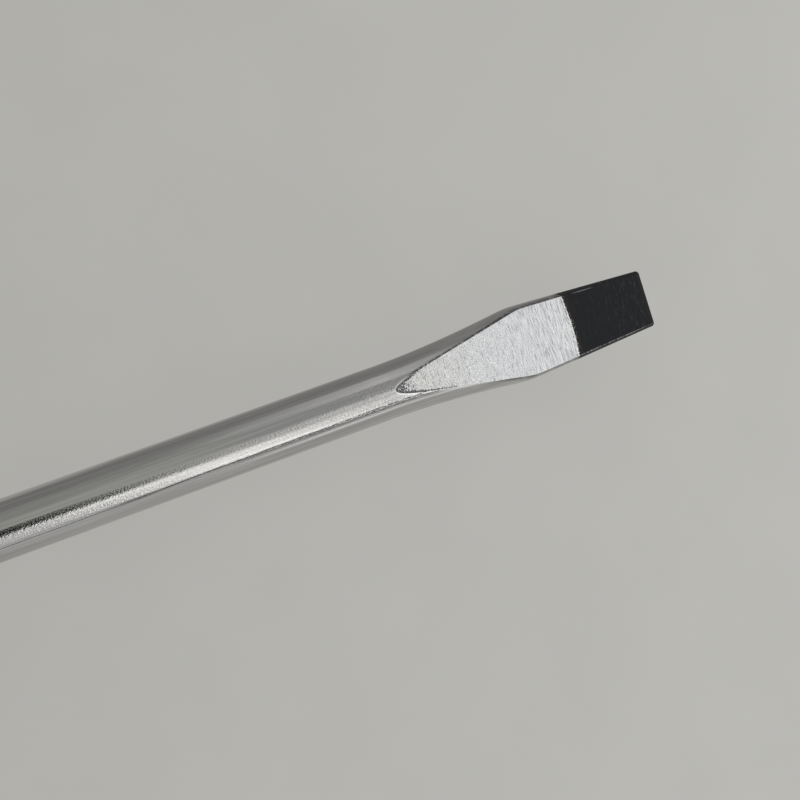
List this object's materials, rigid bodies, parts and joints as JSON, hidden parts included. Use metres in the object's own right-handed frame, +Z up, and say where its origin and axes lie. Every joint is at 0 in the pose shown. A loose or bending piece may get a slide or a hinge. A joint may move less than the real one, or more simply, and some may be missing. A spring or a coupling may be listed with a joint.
{
  "type": "slotted screwdriver",
  "caption": "Slotted screwdriver with a round chrome-plated shank, a flared flat tip, a hexagonal bolster and a two-component handle with a hang hole.",
  "frame": {"origin": "centre of the tool's bounding box at the level of the surface it lies on", "axes": "+X along the blade towards the tip, +Z up, square to the blade's broad faces and to a flat of the handle, +Y across the tip's width"},
  "size_m": [0.264, 0.0334, 0.03],
  "materials": {
    "chrome_steel": "satin chrome plate, ground tip faces, black oxide on the last 11 mm",
    "core_plastic": "moulded, matt",
    "body_plastic": "moulded, fine texture",
    "soft_grip": "soft moulded elastomer, matt",
    "cap_plastic": "moulded, satin"
  },
  "bodies": {
    "root": {"blade": "chrome_steel", "bolster": "chrome_steel", "inner_core": "core_plastic", "handle_body": "body_plastic", "finger_grip": "soft_grip", "grip_inlay_1": "soft_grip", "grip_inlay_2": "soft_grip", "grip_inlay_3": "soft_grip", "grip_inlay_4": "soft_grip", "grip_inlay_5": "soft_grip", "grip_inlay_6": "soft_grip", "butt_cap": "cap_plastic"}
  },
  "joints": []
}
